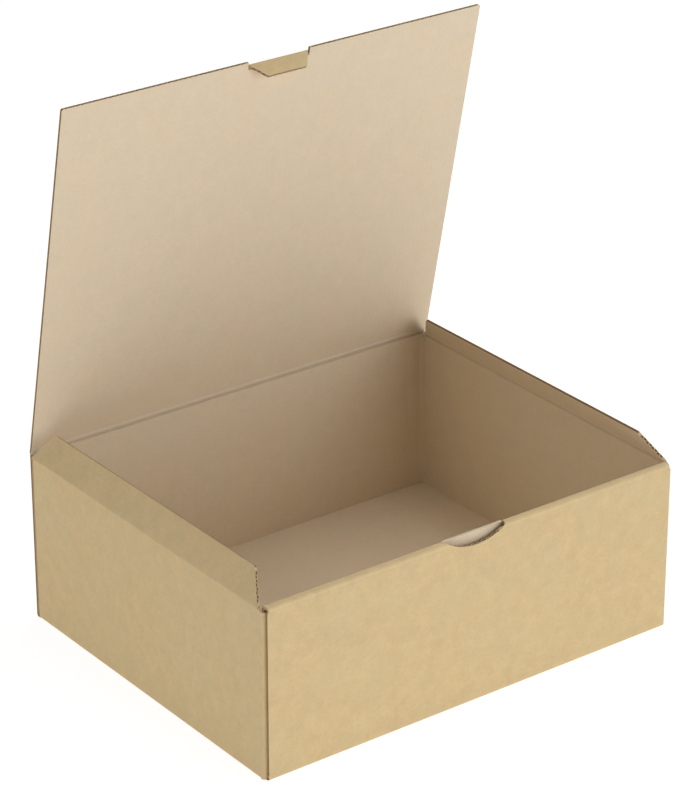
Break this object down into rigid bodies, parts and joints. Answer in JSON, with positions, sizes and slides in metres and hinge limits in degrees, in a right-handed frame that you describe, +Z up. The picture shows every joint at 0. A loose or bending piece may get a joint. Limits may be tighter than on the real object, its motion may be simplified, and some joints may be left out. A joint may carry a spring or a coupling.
{
  "type": "shipping box",
  "caption": "Open corrugated shipping box: folded tray with a rolled-over, slotted front wall, a hinged lid with a tuck tab, and creased dust flaps along the side walls.",
  "frame": {"origin": "middle of the tray's underside", "axes": "+X to the right along the front wall, +Y from the front wall to the hinged back wall, +Z up"},
  "size_m": [0.28, 0.224, 0.322],
  "materials": {
    "board": "matt kraft liner outside, paler liner inside"
  },
  "bodies": {
    "tray": {"tray": "board"},
    "lid": {"lid": "board"},
    "tuck_tab": {"tuck_tab": "board"},
    "dust_flap_left": {"dust_flap_left": "board"},
    "dust_flap_right": {"dust_flap_right": "board"}
  },
  "joints": [
    {"name": "lid_hinge", "type": "hinge", "parent": "tray", "child": "lid", "pos_m": [0, 0.1112, 0.1038], "axis": [-1, 0, 0], "range_deg": [-78, 102]},
    {"name": "tab_fold", "type": "hinge", "parent": "lid", "child": "tuck_tab", "pos_m": [0, 0.06538, 0.31938], "axis": [1, 0, 0], "range_deg": [-19, 24.9]},
    {"name": "left_flap_fold", "type": "hinge", "parent": "tray", "child": "dust_flap_left", "pos_m": [-0.1392, 0, 0.1019], "axis": [0, -1, 0], "range_deg": [-60, 78.6]},
    {"name": "right_flap_fold", "type": "hinge", "parent": "tray", "child": "dust_flap_right", "pos_m": [0.1392, 0, 0.1019], "axis": [0, 1, 0], "range_deg": [-60, 78.6]}
  ],
  "couplings": [
    {"joint": "tab_fold", "follows": "lid_hinge", "ratio": 0.24359},
    {"joint": "left_flap_fold", "follows": "lid_hinge", "ratio": 0.76923},
    {"joint": "right_flap_fold", "follows": "lid_hinge", "ratio": 0.76923}
  ]
}
